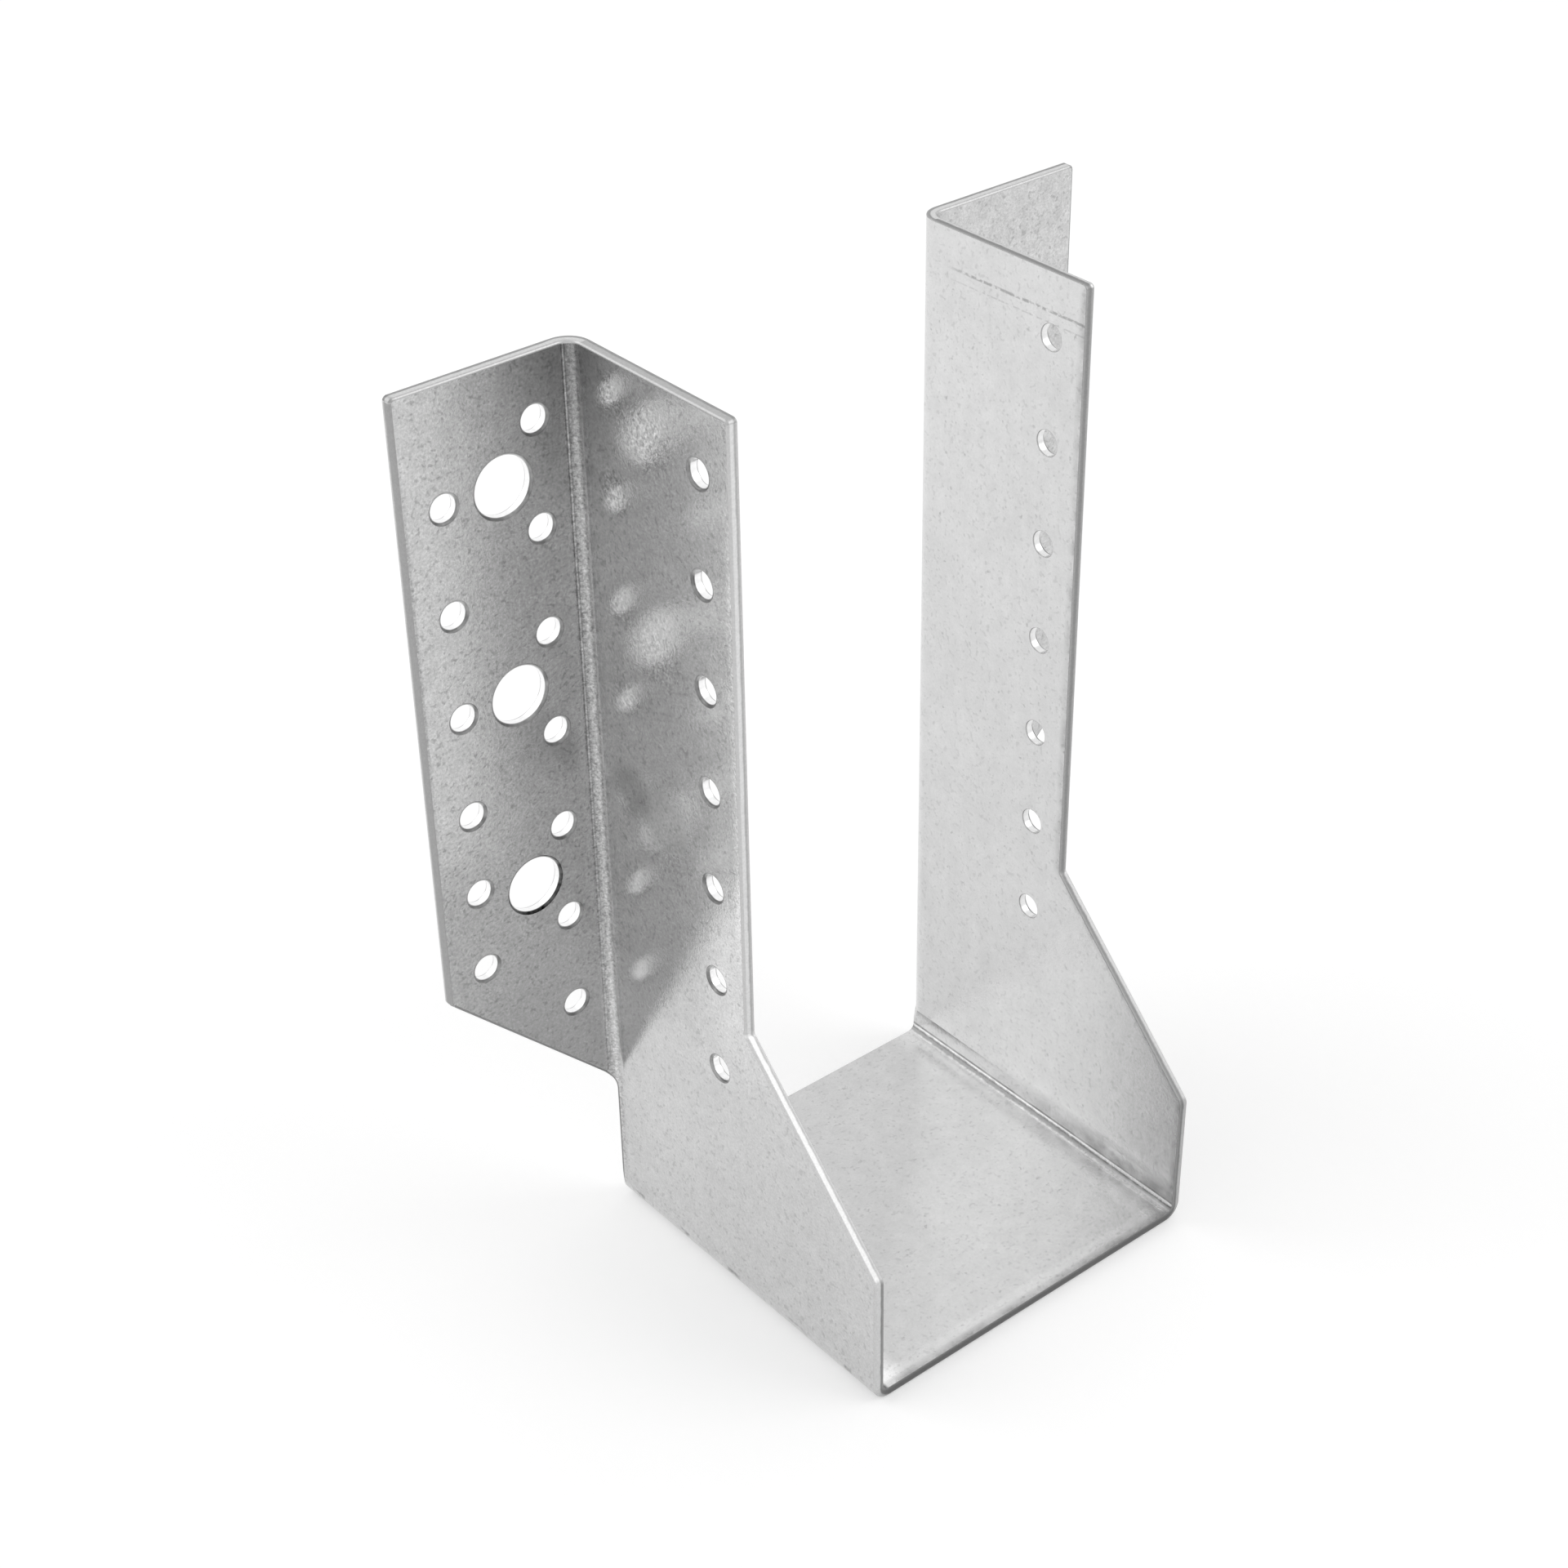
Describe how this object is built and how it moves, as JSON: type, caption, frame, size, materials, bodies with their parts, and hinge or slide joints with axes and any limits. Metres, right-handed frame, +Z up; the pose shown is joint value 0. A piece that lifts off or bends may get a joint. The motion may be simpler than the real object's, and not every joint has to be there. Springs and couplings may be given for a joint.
{
  "type": "joist hanger",
  "caption": "Stirrup folded from galvanised steel sheet: a seat and side cheeks cradle a joist's end, and flanges with nail and bolt holes fix it to a header beam.",
  "frame": {"origin": "middle of the footprint, on the underside of the seat", "axes": "+X across the joist, +Y from the joist towards the header beam, +Z up along the flanges"},
  "size_m": [0.149, 0.078, 0.184],
  "materials": {
    "galvanised_sheet": "hot-dip galvanised zinc, satin grey with cloudy mottling and fine dark specks"
  },
  "bodies": {
    "root": {"joist_hanger": "galvanised_sheet"}
  },
  "joints": []
}
